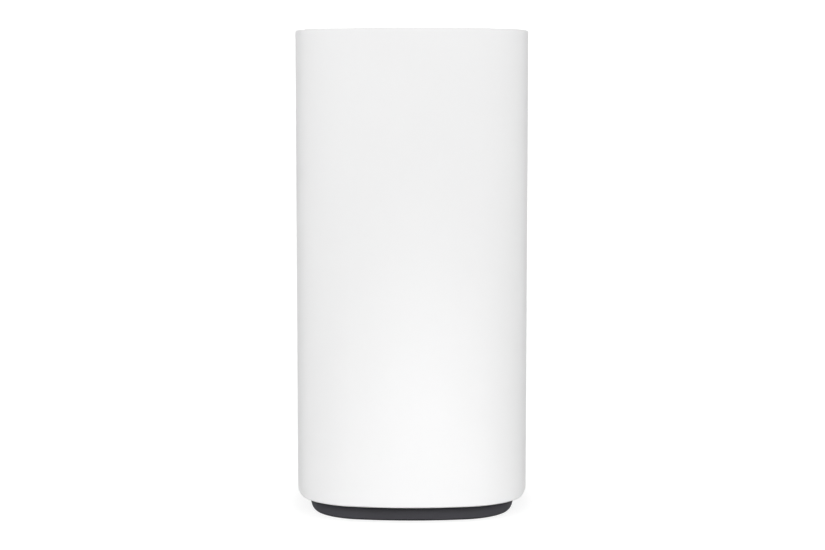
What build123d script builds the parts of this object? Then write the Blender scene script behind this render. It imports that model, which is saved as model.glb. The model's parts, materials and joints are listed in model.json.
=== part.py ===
from build123d import *
import os
from math import atan2, degrees, sqrt

# A mesh wifi node: a white tower on a dark base, with the connector strip in its rear wall.
# +Z is up, the front faces -Y, the connectors face +Y, and the origin is on the table under its centre.
# All lengths are in millimetres.

os.makedirs("parts", exist_ok=True)

# Outer form: a squircle, four shallow side arcs joined by four tangent corner arcs
WIDTH = 88.0
HEIGHT = 180.0
SIDE_SAGITTA = 9.55
CORNER_RADIUS = 25.56
WALL = 2.4
RIM_CHAMFER = 0.6
SHELL_BOTTOM = 6.1
SHELL_CHAMFER = 0.5

# Base, smaller than the shell so that the tower seems to float
BASE_WIDTH = 78.0
BASE_SAGITTA = 7.5
BASE_CORNER_RADIUS = 21.2
BASE_BOTTOM = 0.3
BASE_FLOOR = 2.2
BASE_CHAMFER = 0.6
FLANGE_BOTTOM = 6.4
FLANGE_TOP = 9.4
FLANGE_GAP = 0.3
FOOT_INSET = 3.0
FOOT_BAND = 3.0
FOOT_GROOVE = 0.6
POCKET_LENGTH = 66.0
POCKET_WIDTH = 34.0

# Vent cap, sunk below the rim, with a sunburst of long and short slots between squircles
CAP_RECESS = 1.6
CAP_THICKNESS = 2.4
CAP_GAP = 0.3
CAP_CHAMFER = 0.4
CATCH_REACH = 2.0
CATCH_LENGTH = 12.0
CATCH_HEIGHT = 2.0
VENT_SLOT = 2.2
VENT_COUNT = 16
VENT_OUTER = 9.0
VENT_LONG_INNER = 24.5
VENT_SHORT_INNER = 17.5

# Status light, in the front margin of the vent cap
LIGHT_Y = -37.9
LENS_LENGTH = 8.8
LENS_WIDTH = 2.0
LENS_GAP = 0.1
LENS_DEPTH = 2.0
STEM_LENGTH = 4.0

# Connector strip in the rear wall
STRIP_WIDTH = 25.0
STRIP_BOTTOM = 14.0
STRIP_TOP = 130.0
STRIP_CORNER = 3.0
PANEL_FACE = 40.4
PANEL_THICKNESS = 2.0
PANEL_WIDTH = 28.6
PANEL_TOP = 132.6
PANEL_RETURN = 4.0
MOUTH_CHAMFER = 0.5

# Main board, upright, with the jacks on its right face
BOARD_FACE = -6.75
BOARD_THICKNESS = 1.6
BOARD_FRONT = -34.0
BOARD_REAR = 36.0
BOARD_BOTTOM = 12.4
BOARD_TOP = 161.0
BOARD_BACK = BOARD_FACE - BOARD_THICKNESS

# Network jacks: 8-way modular jacks turned on their side
JACK_HEIGHTS = (56.0, 73.0, 90.0, 107.0)
JACK_FRONT = 38.3
JACK_DEPTH = 21.0
JACK_WIDTH = 16.2
JACK_TALL = 13.9
SHEET = 0.4
PLUG_WIDTH = 11.9
PLUG_TALL = 8.3
PLUG_LOW = -4.4
LATCH_WIDTH = 6.4
LATCH_TALL = 1.9
PLUG_DEPTH = 13.5
WIRE_PITCH = 1.02
WIRE_WIDTH = 0.46
WIRE_THICKNESS = 0.35
WIRE_COUNT = 8
WIRE_FRONT = 37.1
WIRE_BEND = 34.2
WIRE_TIP = 27.3
WIRE_SPRING = 2.8
MOUTH_WIDTH = 13.6
MOUTH_TALL = 12.2
MOUTH_CENTRE = 0.7

# Power inlet: a 5.5 mm barrel jack with a 2.0 mm pin
INLET_Z = 23.0
INLET_BORE = 3.2
INLET_PIN = 1.0
INLET_NOSE = 4.2
INLET_NOSE_GAP = 0.2
INLET_FRONT = 39.8
INLET_BORE_DEPTH = 12.0
INLET_BACK = 23.8
INLET_WIDTH = 9.0
INLET_PIN_SUNK = 1.5
SPRING_X = -3.6
SPRING_FRONT = 36.8
SPRING_LENGTH = 8.5
SPRING_WIDTH = 1.8
SPRING_THICKNESS = 0.4
SPRING_GAP = 0.5
SPRING_SLOT_DEPTH = 2.0
SPRING_SLOT_WIDTH = 2.4

# Power rocker
ROCKER_Z = 38.5
ROCKER_Y = 38.8
ROCKER_RADIUS = 5.5
ROCKER_HALF_WIDTH = 3.5
ROCKER_TILT = 10.0
ROCKER_BACK = 1.8
ROCKER_DISH = 12.0
ROCKER_DISH_LOW = 2.2
ROCKER_GAP = 0.3
PIVOT_RADIUS = 1.0
PIVOT_GAP = 0.06

# Pairing button and reset button, each with a tactile switch behind it
PAIR_Z = 122.0
PAIR_RADIUS = 3.0
PAIR_GAP = 0.3
PAIR_PROUD = 0.9
PAIR_FLANGE = 3.9
PAIR_CHAMFER = 0.4
PAIR_BLADE_LENGTH = 5.0
PAIR_BLADE_WIDTH = 2.0
PAIR_BLADE_X = -1.5
PAIR_SWITCH_FRONT = 32.0
RESET_X = -2.75
RESET_Y = 4.0
RESET_RADIUS = 1.5
RESET_GAP = 0.3
RESET_SUNK = 1.2
RESET_SWITCH_BOTTOM = 14.2
FLANGE_THICKNESS = 0.8
PRESS_GAP = 0.8
PAIR_PRESS_GAP = 1.0
FLANGE_PLAY = 0.1
SWITCH_TALL = 7.2
SWITCH_LONG = 6.0
SWITCH_DEEP = 3.6
PLUNGER_RADIUS = 1.2
PLUNGER_REACH = 1.0

# Inner frame
DECK_THICKNESS = 2.0
DECK_WIDTH = 76.0
DECK_CORNER = 15.5
DECK_OPENING = 58.0
DECK_REACH = 39.9
TOP_DECK = 162.0
BAR_Y = 17.0
BAR_WIDTH = 6.0
SIDE_X = 32.0
SIDE_THICKNESS = 2.0
SIDE_LENGTH = 48.0
TAB_THICKNESS = 3.0
TAB_HEIGHT = 14.6
SCREW_SPOT = 23.0
PAD_SIZE = 11.0
SHANK_SIDES = 6
HEAD_SIDES = 8

# Heatsinks
SINK_BOTTOM = 44.0
SINK_TOP = 146.0
SINK_FRONT = -32.0
SINK_REAR = 14.0
FIN_THICKNESS = 1.2
FIN_COUNT = 9
CHIP_HEIGHT = 1.4
PAD_THICKNESS = 1.0

# Antennas and their coaxial leads
ANTENNA_Y = 12.0
ANTENNA_WIDTH = 18.0
ANTENNA_BOTTOM = 101.0
ANTENNA_TOP = 141.0
ANTENNA_SHEET = 0.5
FEED_Z = 104.0
LEAD_RADIUS = 0.6
LEAD_SIDES = 6
LEAD_RISE_X = 29.0
LEAD_TOP = 154.0
LEAD_BEND = 9.0
SOCKET_SIZE = 3.0
SOCKET_HEIGHT = 1.3


def squircle(width, sagitta, corner_radius, inset):
    """A closed outline of side arcs and tangent corner arcs, moved inwards by inset."""
    half = width / 2
    side_radius = (half**2 + sagitta**2) / (2 * sagitta)
    side_centre = half - side_radius
    reach = side_radius - corner_radius
    corner = (side_centre + sqrt(2 * reach**2 - side_centre**2)) / 2
    side_half_angle = degrees(atan2(corner, corner - side_centre))
    with BuildSketch(mode=Mode.PRIVATE) as outline:
        with BuildLine():
            for quarter in range(4):
                turn = 90 * quarter
                side = Vector(side_centre, 0).rotate(Axis.Z, turn)
                CenterArc(side, side_radius - inset, turn - side_half_angle, 2 * side_half_angle)
                bend = Vector(corner, corner).rotate(Axis.Z, turn)
                CenterArc(bend, corner_radius - inset, turn + side_half_angle, 90 - 2 * side_half_angle)
        make_face()
    return outline.sketch


def shell_outline(inset=0.0):
    """The tower's outline, or one that lies inset inside it."""
    return squircle(WIDTH, SIDE_SAGITTA, CORNER_RADIUS, inset)


def base_outline(inset=0.0):
    """The base's outline, or one that lies inset inside it."""
    return squircle(BASE_WIDTH, BASE_SAGITTA, BASE_CORNER_RADIUS, inset)


def level(height):
    """A horizontal plane at a height."""
    return Plane.XY.offset(height)


def rear_plane(depth):
    """An upright plane seen from the front, from which solids grow towards the front."""
    return Plane.XZ.offset(-depth)


def side_plane(offset_x):
    """An upright plane along the board, from which solids grow to the right."""
    return Plane.YZ.offset(offset_x)


def save(builder, name):
    """Labels a finished piece and writes it to its own file."""
    builder.part.label = name
    export_step(builder.part, f"parts/{name}.step")


# ---------------------------------------------------------------- outer shell
CAP_TOP = HEIGHT - CAP_RECESS
CAP_BOTTOM = CAP_TOP - CAP_THICKNESS
CATCH_BOTTOM = CAP_BOTTOM - CATCH_HEIGHT
DECK_TOP = FLANGE_TOP + DECK_THICKNESS
BOSS_TOP = 30.0
BOSS_SIZE = 6.0
WEB_THICKNESS = 2.0
WEB_LENGTH = 15.2
PILOT_RADIUS = 1.6
PILOT_DEPTH = 13.0
CORNER_REACH = SCREW_SPOT * sqrt(2)

with BuildPart() as outer_shell:
    with BuildSketch(level(SHELL_BOTTOM)):
        add(shell_outline())
    extrude(amount=HEIGHT - SHELL_BOTTOM)
    chamfer(outer_shell.edges().group_by(Axis.Z)[-1], RIM_CHAMFER)
    chamfer(outer_shell.edges().group_by(Axis.Z)[0], SHELL_CHAMFER)
    with BuildSketch(level(SHELL_BOTTOM)):
        add(shell_outline(WALL))
    extrude(amount=HEIGHT - SHELL_BOTTOM, mode=Mode.SUBTRACT)
    # Catches that the vent cap rests on, one in the middle of each side
    with BuildSketch(level(CATCH_BOTTOM)):
        with PolarLocations(WIDTH / 2 - WALL - CATCH_REACH, 4):
            Rectangle(CATCH_REACH + WALL / 2, CATCH_LENGTH, align=(Align.MIN, Align.CENTER))
    extrude(amount=CATCH_HEIGHT)
    # Screw bosses, each tied to its corner by a web
    with BuildSketch(level(DECK_TOP)):
        with PolarLocations(CORNER_REACH, 4, start_angle=45):
            Rectangle(BOSS_SIZE, BOSS_SIZE)
            Rectangle(WEB_LENGTH, WEB_THICKNESS, align=(Align.MIN, Align.CENTER))
    extrude(amount=BOSS_TOP - DECK_TOP)
    with BuildSketch(level(DECK_TOP)):
        with PolarLocations(CORNER_REACH, 4, start_angle=45):
            RegularPolygon(PILOT_RADIUS, SHANK_SIDES)
    extrude(amount=PILOT_DEPTH, mode=Mode.SUBTRACT)
    # Opening for the connector strip
    with BuildSketch(rear_plane(WIDTH / 2)):
        with Locations((0, (STRIP_BOTTOM + STRIP_TOP) / 2)):
            RectangleRounded(STRIP_WIDTH, STRIP_TOP - STRIP_BOTTOM, STRIP_CORNER)
    extrude(amount=WALL + 2, mode=Mode.SUBTRACT)
save(outer_shell, "outer_shell")

# ---------------------------------------------------------------- vent cap
with BuildPart() as vent_cap:
    with BuildSketch(level(CAP_BOTTOM)):
        add(shell_outline(WALL + CAP_GAP))
    extrude(amount=CAP_THICKNESS)
    chamfer(vent_cap.edges().group_by(Axis.Z)[-1], CAP_CHAMFER)
    for inner, turn in ((VENT_LONG_INNER, 0), (VENT_SHORT_INNER, 180 / VENT_COUNT)):
        with BuildSketch(mode=Mode.PRIVATE) as spokes:
            with PolarLocations(0, VENT_COUNT, start_angle=turn):
                Rectangle(WIDTH, VENT_SLOT, align=(Align.MIN, Align.CENTER))
        with BuildSketch(level(CAP_BOTTOM)):
            add(shell_outline(VENT_OUTER))
            add(shell_outline(inner), mode=Mode.SUBTRACT)
            add(spokes.sketch, mode=Mode.INTERSECT)
        extrude(amount=CAP_THICKNESS, mode=Mode.SUBTRACT)
    with BuildSketch(level(CAP_BOTTOM)):
        with Locations((0, LIGHT_Y)):
            SlotOverall(LENS_LENGTH + 2 * LENS_GAP, LENS_WIDTH + 2 * LENS_GAP)
    extrude(amount=CAP_THICKNESS, mode=Mode.SUBTRACT)
save(vent_cap, "vent_cap")

# ---------------------------------------------------------------- status light
LED_BOARD_LENGTH = 14.0
LED_BOARD_WIDTH = 6.4
LED_BOARD_THICKNESS = 1.0
LED_BOARD_SHIFT = 1.3
LED_LENGTH = 3.2
LED_WIDTH = 1.6
LED_HEIGHT = 0.8
LED_GAP = 0.3
LED_BOARD_TOP = TOP_DECK + DECK_THICKNESS + LED_BOARD_THICKNESS
STEM_BOTTOM = LED_BOARD_TOP + LED_HEIGHT + LED_GAP

with BuildPart() as light_pipe:
    with BuildSketch(level(STEM_BOTTOM)):
        with Locations((0, LIGHT_Y)):
            Rectangle(STEM_LENGTH, LENS_WIDTH)
    extrude(amount=CAP_TOP - STEM_BOTTOM)
    with BuildSketch(level(CAP_TOP - LENS_DEPTH)):
        with Locations((0, LIGHT_Y)):
            SlotOverall(LENS_LENGTH, LENS_WIDTH)
    extrude(amount=LENS_DEPTH)
save(light_pipe, "light_pipe")

with BuildPart() as led_board:
    with BuildSketch(level(TOP_DECK + DECK_THICKNESS)):
        with Locations((0, LIGHT_Y + LED_BOARD_SHIFT)):
            Rectangle(LED_BOARD_LENGTH, LED_BOARD_WIDTH)
    extrude(amount=LED_BOARD_THICKNESS)
save(led_board, "led_board")

with BuildPart() as status_led:
    with BuildSketch(level(LED_BOARD_TOP)):
        with Locations((0, LIGHT_Y)):
            Rectangle(LED_LENGTH, LED_WIDTH)
    extrude(amount=LED_HEIGHT)
save(status_led, "status_led")

# ---------------------------------------------------------------- base
SCREW_CLEARANCE = 1.75
SCREW_HEAD_HOLE = 3.0
SCREW_HEAD_DEPTH = 4.0
SCREW_HEAD_HEIGHT = 2.0
SCREW_HEAD_RADIUS = 2.6
SHANK_RADIUS = 1.5
SHANK_TOP = 22.4
INTAKE_WIDTH = 2.0
SIDE_INTAKE_LENGTH = 30.0
SIDE_INTAKES = (-28.0, -24.0, -20.0, 20.0, 24.0, 28.0)
REAR_INTAKES = (-12.0, -8.0, -4.0, 0.0, 4.0, 8.0, 12.0)
REAR_INTAKE_LENGTH = 14.0
REAR_INTAKE_Y = 20.0
LABEL_LENGTH = 32.0
LABEL_WIDTH = 18.0
LABEL_Y = -15.0
LABEL_RECESS = 0.2
LABEL_GAP = 0.3
FLOOR_TOP = BASE_BOTTOM + BASE_FLOOR
SCREW_SEAT = BASE_BOTTOM + SCREW_HEAD_DEPTH

with BuildPart() as base_tray:
    with BuildSketch(level(BASE_BOTTOM)):
        add(base_outline())
    extrude(amount=FLANGE_TOP - BASE_BOTTOM)
    chamfer(base_tray.edges().group_by(Axis.Z)[0], BASE_CHAMFER)
    with BuildSketch(level(FLANGE_BOTTOM)):
        add(shell_outline(WALL + FLANGE_GAP))
    extrude(amount=FLANGE_TOP - FLANGE_BOTTOM)
    # A cross-shaped pocket, which leaves solid corners round the screws
    with BuildSketch(level(FLOOR_TOP)):
        Rectangle(POCKET_LENGTH, POCKET_WIDTH)
        Rectangle(POCKET_WIDTH, POCKET_LENGTH)
    extrude(amount=FLANGE_TOP - FLOOR_TOP, mode=Mode.SUBTRACT)
    with BuildSketch(level(BASE_BOTTOM)):
        with PolarLocations(CORNER_REACH, 4, start_angle=45):
            RegularPolygon(SCREW_HEAD_HOLE, HEAD_SIDES)
    extrude(amount=SCREW_HEAD_DEPTH, mode=Mode.SUBTRACT)
    with BuildSketch(level(BASE_BOTTOM)):
        with PolarLocations(CORNER_REACH, 4, start_angle=45):
            RegularPolygon(SCREW_CLEARANCE, SHANK_SIDES)
    extrude(amount=FLANGE_TOP - BASE_BOTTOM, mode=Mode.SUBTRACT)
    with BuildSketch(level(BASE_BOTTOM)):
        with Locations(*[(x, 0) for x in SIDE_INTAKES]):
            Rectangle(INTAKE_WIDTH, SIDE_INTAKE_LENGTH)
        with Locations(*[(x, REAR_INTAKE_Y) for x in REAR_INTAKES]):
            Rectangle(INTAKE_WIDTH, REAR_INTAKE_LENGTH)
        with Locations((RESET_X, RESET_Y)):
            RegularPolygon(RESET_RADIUS + RESET_GAP, HEAD_SIDES)
    extrude(amount=BASE_FLOOR, mode=Mode.SUBTRACT)
    with BuildSketch(level(BASE_BOTTOM)):
        add(base_outline(FOOT_INSET))
        add(base_outline(FOOT_INSET + FOOT_BAND), mode=Mode.SUBTRACT)
    extrude(amount=FOOT_GROOVE, mode=Mode.SUBTRACT)
    with BuildSketch(level(BASE_BOTTOM)):
        with Locations((0, LABEL_Y)):
            Rectangle(LABEL_LENGTH, LABEL_WIDTH)
    extrude(amount=LABEL_RECESS, mode=Mode.SUBTRACT)
save(base_tray, "base_tray")

with BuildPart() as foot_ring:
    with BuildSketch():
        add(base_outline(FOOT_INSET))
        add(base_outline(FOOT_INSET + FOOT_BAND), mode=Mode.SUBTRACT)
    extrude(amount=BASE_BOTTOM + FOOT_GROOVE)
save(foot_ring, "foot_ring")

with BuildPart() as rating_label:
    with BuildSketch(level(BASE_BOTTOM)):
        with Locations((0, LABEL_Y)):
            Rectangle(LABEL_LENGTH - 2 * LABEL_GAP, LABEL_WIDTH - 2 * LABEL_GAP)
    extrude(amount=LABEL_RECESS)
save(rating_label, "rating_label")

with BuildPart() as base_screws:
    with BuildSketch(level(SCREW_SEAT)):
        with PolarLocations(CORNER_REACH, 4, start_angle=45):
            RegularPolygon(SCREW_HEAD_RADIUS, HEAD_SIDES)
    extrude(amount=-SCREW_HEAD_HEIGHT)
    with BuildSketch(level(SCREW_SEAT)):
        with PolarLocations(CORNER_REACH, 4, start_angle=45):
            RegularPolygon(SHANK_RADIUS, SHANK_SIDES)
    extrude(amount=SHANK_TOP - SCREW_SEAT)
save(base_screws, "base_screws")

with BuildPart() as reset_button:
    with BuildSketch(level(BASE_BOTTOM + RESET_SUNK)):
        with Locations((RESET_X, RESET_Y)):
            RegularPolygon(RESET_RADIUS, HEAD_SIDES)
    extrude(amount=RESET_SWITCH_BOTTOM - PLUNGER_REACH - PRESS_GAP - BASE_BOTTOM - RESET_SUNK)
    with BuildSketch(level(FLOOR_TOP + RESET_GAP)):
        with Locations((RESET_X, RESET_Y)):
            RegularPolygon(2 * RESET_RADIUS, SHANK_SIDES)
    extrude(amount=FLANGE_THICKNESS)
save(reset_button, "reset_button")

# ---------------------------------------------------------------- inner frame
SIDE_WINDOW_BOTTOM = 28.0
SIDE_WINDOW_TOP = 92.0
SIDE_WINDOW_LENGTH = 32.0
BOARD_SCREW_Z = (18.0, 156.0)
BOARD_SCREW_RADIUS = 1.2
FEED_WIDTH = 3.0
FEED_SLOT_LENGTH = 4.0
FEED_SLOT_HEIGHT = 2.0
TAB_X = BOARD_BACK - TAB_THICKNESS / 2
BOARD_SCREWS = [(y, z) for y in (-BAR_Y, BAR_Y) for z in BOARD_SCREW_Z]
BOARD_SCREW_GAP = 0.1
BOARD_HEAD_HEIGHT = 1.5

with BuildPart() as chassis:
    for bottom in (FLANGE_TOP, TOP_DECK):
        with BuildSketch(level(bottom)) as deck:
            Rectangle(DECK_WIDTH, DECK_WIDTH)
            chamfer(deck.vertices(), DECK_CORNER)
            Rectangle(PANEL_WIDTH, 2 * DECK_REACH)
            Rectangle(DECK_OPENING, DECK_OPENING, mode=Mode.SUBTRACT)
            with Locations((0, -BAR_Y), (0, BAR_Y)):
                Rectangle(2 * SIDE_X, BAR_WIDTH)
            with GridLocations(2 * SCREW_SPOT, 2 * SCREW_SPOT, 2, 2):
                Rectangle(PAD_SIZE, PAD_SIZE)
                RegularPolygon(SCREW_CLEARANCE, SHANK_SIDES, mode=Mode.SUBTRACT)
        extrude(amount=DECK_THICKNESS)
    with BuildSketch(level(FLANGE_TOP)):
        with Locations((-SIDE_X - SIDE_THICKNESS / 2, 0), (SIDE_X + SIDE_THICKNESS / 2, 0)):
            Rectangle(SIDE_THICKNESS, SIDE_LENGTH)
    extrude(amount=TOP_DECK - FLANGE_TOP)
    for bottom in (FLANGE_TOP, TOP_DECK + DECK_THICKNESS - TAB_HEIGHT):
        with BuildSketch(level(bottom)):
            with Locations((TAB_X, -BAR_Y), (TAB_X, BAR_Y)):
                Rectangle(TAB_THICKNESS, BAR_WIDTH)
        extrude(amount=TAB_HEIGHT)
    with BuildSketch(side_plane(-WIDTH / 2)):
        with Locations((0, (SIDE_WINDOW_BOTTOM + SIDE_WINDOW_TOP) / 2)):
            Rectangle(SIDE_WINDOW_LENGTH, SIDE_WINDOW_TOP - SIDE_WINDOW_BOTTOM)
        with Locations((-ANTENNA_Y, FEED_Z), (ANTENNA_Y, FEED_Z)):
            Rectangle(FEED_SLOT_LENGTH, FEED_SLOT_HEIGHT)
    extrude(amount=WIDTH, mode=Mode.SUBTRACT)
    with BuildSketch(side_plane(BOARD_BACK)):
        with Locations(*BOARD_SCREWS):
            RegularPolygon(BOARD_SCREW_RADIUS + BOARD_SCREW_GAP, SHANK_SIDES)
    extrude(amount=-TAB_THICKNESS, mode=Mode.SUBTRACT)
save(chassis, "chassis")

# ---------------------------------------------------------------- main board
SPACER_SPOTS = [(y, z) for y in (-27.0, 10.0) for z in (50.0, 140.0)]
SPACER_RADIUS = 1.5
SPACER_GAP = 0.2
BOARD_CENTRE = ((BOARD_FRONT + BOARD_REAR) / 2, (BOARD_BOTTOM + BOARD_TOP) / 2)

with BuildPart() as main_board:
    with BuildSketch(side_plane(BOARD_BACK)):
        with Locations(BOARD_CENTRE):
            Rectangle(BOARD_REAR - BOARD_FRONT, BOARD_TOP - BOARD_BOTTOM)
        with Locations(*BOARD_SCREWS):
            RegularPolygon(BOARD_SCREW_RADIUS + BOARD_SCREW_GAP, SHANK_SIDES, mode=Mode.SUBTRACT)
        with Locations(*SPACER_SPOTS):
            RegularPolygon(SPACER_RADIUS + SPACER_GAP, SHANK_SIDES, mode=Mode.SUBTRACT)
    extrude(amount=BOARD_THICKNESS)
save(main_board, "main_board")

with BuildPart() as board_screws:
    with BuildSketch(side_plane(BOARD_FACE)):
        with Locations(*BOARD_SCREWS):
            RegularPolygon(2 * BOARD_SCREW_RADIUS, HEAD_SIDES)
    extrude(amount=BOARD_HEAD_HEIGHT)
    with BuildSketch(side_plane(BOARD_FACE)):
        with Locations(*BOARD_SCREWS):
            RegularPolygon(BOARD_SCREW_RADIUS, SHANK_SIDES)
    extrude(amount=-BOARD_THICKNESS - TAB_THICKNESS)
save(board_screws, "board_screws")

# Components that stand on the board's right face: (name, places as (y, z), length, width, height)
PROCESSOR_SPOT = (-9.0, 96.0)
RIGHT_FACE_BLOCKS = (
    ("processor", (PROCESSOR_SPOT,), 19.0, 19.0, CHIP_HEIGHT),
    ("memory_chips", ((-16.0, 70.0), (-16.0, 58.0)), 12.0, 9.0, 1.1),
    ("switch_chip", ((4.0, 66.0),), 14.0, 14.0, 1.0),
    ("power_inductors", ((-1.0, 34.0), (9.0, 34.0)), 7.0, 7.0, 4.0),
)
for block_name, places, length, width, height in RIGHT_FACE_BLOCKS:
    with BuildPart() as block:
        with BuildSketch(side_plane(BOARD_FACE)):
            with Locations(*places):
                Rectangle(length, width)
        extrude(amount=height)
    save(block, block_name)

CAPACITOR_SPOTS = ((-28.0, 34.0), (-20.0, 34.0), (-12.0, 34.0))
CAPACITOR_RADIUS = 3.15
CAPACITOR_HEIGHT = 8.0
with BuildPart() as power_capacitors:
    with BuildSketch(side_plane(BOARD_FACE)):
        with Locations(*CAPACITOR_SPOTS):
            RegularPolygon(CAPACITOR_RADIUS, HEAD_SIDES)
    extrude(amount=CAPACITOR_HEIGHT)
save(power_capacitors, "power_capacitors")

# Components on the board's left face
TRANSFORMER_SIZE = 12.0
TRANSFORMER_HEIGHT = 4.6
TRANSFORMER_Y = 26.0
with BuildPart() as line_transformers:
    with BuildSketch(side_plane(BOARD_BACK)):
        with Locations(*[(TRANSFORMER_Y, z) for z in JACK_HEIGHTS]):
            Rectangle(TRANSFORMER_SIZE, TRANSFORMER_SIZE)
    extrude(amount=-TRANSFORMER_HEIGHT)
save(line_transformers, "line_transformers")

RADIO_SPOTS = ((-8.0, 74.0), (-8.0, 118.0))
SHIELD_CAN_LENGTH = 28.0
SHIELD_CAN_WIDTH = 36.0
SHIELD_CAN_HEIGHT = 2.5
with BuildPart() as radio_shields:
    with BuildSketch(side_plane(BOARD_BACK)):
        with Locations(*RADIO_SPOTS):
            Rectangle(SHIELD_CAN_LENGTH, SHIELD_CAN_WIDTH)
    extrude(amount=-SHIELD_CAN_HEIGHT)
save(radio_shields, "radio_shields")

# ---------------------------------------------------------------- heatsinks
PAD_MAIN_SIZE = 18.0
PAD_MARGIN = 4.0
SINK_LENGTH = SINK_REAR - SINK_FRONT
SINK_CENTRE = (SINK_FRONT + SINK_REAR) / 2
FIN_PITCH = (SINK_LENGTH - FIN_THICKNESS) / (FIN_COUNT - 1)
SINKS = (
    ("heatsink_main", BOARD_FACE + CHIP_HEIGHT + PAD_THICKNESS, 3.0, 26.0),
    ("heatsink_radio", BOARD_BACK - SHIELD_CAN_HEIGHT - PAD_THICKNESS, -2.5, -28.0),
)
for sink_name, foot_x, plate, tip_x in SINKS:
    with BuildPart() as sink:
        with BuildSketch(level(SINK_BOTTOM)):
            with Locations((foot_x + plate / 2, SINK_CENTRE)):
                Rectangle(abs(plate), SINK_LENGTH)
            fin_centre = (foot_x + plate + tip_x) / 2
            with Locations((fin_centre, SINK_CENTRE)):
                with GridLocations(0, FIN_PITCH, 1, FIN_COUNT):
                    Rectangle(abs(tip_x - foot_x - plate), FIN_THICKNESS)
        extrude(amount=SINK_TOP - SINK_BOTTOM)
    save(sink, sink_name)

with BuildPart() as heatsink_spacers:
    with BuildSketch(side_plane(SINKS[1][1])):
        with Locations(*SPACER_SPOTS):
            RegularPolygon(SPACER_RADIUS, SHANK_SIDES)
    extrude(amount=SINKS[0][1] - SINKS[1][1])
save(heatsink_spacers, "heatsink_spacers")

with BuildPart() as thermal_pad_main:
    with BuildSketch(side_plane(BOARD_FACE + CHIP_HEIGHT)):
        with Locations(PROCESSOR_SPOT):
            Rectangle(PAD_MAIN_SIZE, PAD_MAIN_SIZE)
    extrude(amount=PAD_THICKNESS)
save(thermal_pad_main, "thermal_pad_main")

with BuildPart() as thermal_pads_radio:
    with BuildSketch(side_plane(BOARD_BACK - SHIELD_CAN_HEIGHT)):
        with Locations(*RADIO_SPOTS):
            Rectangle(SHIELD_CAN_LENGTH - PAD_MARGIN, SHIELD_CAN_WIDTH - PAD_MARGIN)
    extrude(amount=-PAD_THICKNESS)
save(thermal_pads_radio, "thermal_pads_radio")

# ---------------------------------------------------------------- antennas
SLIT_LENGTH = 12.0
SLIT_WIDTH = 3.0
SLIT_PITCH = 8.0
ANTENNAS = (
    ("left_front", -1, -ANTENNA_Y),
    ("left_rear", -1, ANTENNA_Y),
    ("right_front", 1, -ANTENNA_Y),
    ("right_rear", 1, ANTENNA_Y),
)
for place, side, spot_y in ANTENNAS:
    face_x = side * (SIDE_X + SIDE_THICKNESS)
    with BuildPart() as antenna:
        with BuildSketch(side_plane(face_x)):
            with Locations((spot_y, (ANTENNA_BOTTOM + ANTENNA_TOP) / 2)):
                Rectangle(ANTENNA_WIDTH, ANTENNA_TOP - ANTENNA_BOTTOM)
            for slit in range(4):
                edge = (-1) ** slit
                slit_y = spot_y + edge * (ANTENNA_WIDTH - SLIT_LENGTH) / 2
                with Locations((slit_y, ANTENNA_BOTTOM + SLIT_PITCH * (slit + 1))):
                    Rectangle(SLIT_LENGTH, SLIT_WIDTH, mode=Mode.SUBTRACT)
        extrude(amount=side * ANTENNA_SHEET)
        with BuildSketch(side_plane(face_x)):
            with Locations((spot_y, FEED_Z)):
                Rectangle(FEED_WIDTH, ANTENNA_SHEET)
        extrude(amount=-side * (SIDE_X + SIDE_THICKNESS - LEAD_RISE_X + LEAD_RADIUS))
    save(antenna, f"antenna_{place}")

    socket_face = BOARD_FACE + SOCKET_HEIGHT if side > 0 else BOARD_BACK - SOCKET_HEIGHT
    with BuildPart() as lead:
        with BuildLine() as route:
            Polyline(
                (side * LEAD_RISE_X, spot_y, FEED_Z + ANTENNA_SHEET / 2),
                (side * LEAD_RISE_X, spot_y, LEAD_TOP - LEAD_BEND),
                (side * (LEAD_RISE_X - LEAD_BEND), spot_y, LEAD_TOP),
                (socket_face, spot_y, LEAD_TOP),
            )
        with BuildSketch(Plane(origin=(side * LEAD_RISE_X, spot_y, FEED_Z + ANTENNA_SHEET / 2))):
            RegularPolygon(LEAD_RADIUS, LEAD_SIDES)
        sweep(path=route.wire(), transition=Transition.RIGHT)
    save(lead, f"antenna_lead_{place}")

with BuildPart() as antenna_sockets:
    for face_x, grow in ((BOARD_FACE, SOCKET_HEIGHT), (BOARD_BACK, -SOCKET_HEIGHT)):
        with BuildSketch(side_plane(face_x)):
            with Locations((-ANTENNA_Y, LEAD_TOP), (ANTENNA_Y, LEAD_TOP)):
                Rectangle(SOCKET_SIZE, SOCKET_SIZE)
        extrude(amount=grow)
save(antenna_sockets, "antenna_sockets")

# ---------------------------------------------------------------- connector panel
HOUSING_HALF_WIDTH = 4.9
HOUSING_HALF_HEIGHT = 6.9
HOUSING_GAP = 0.1
RETURNS = 4.0
PANEL_CENTRE = (0, (DECK_TOP + PANEL_TOP) / 2)

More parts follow.
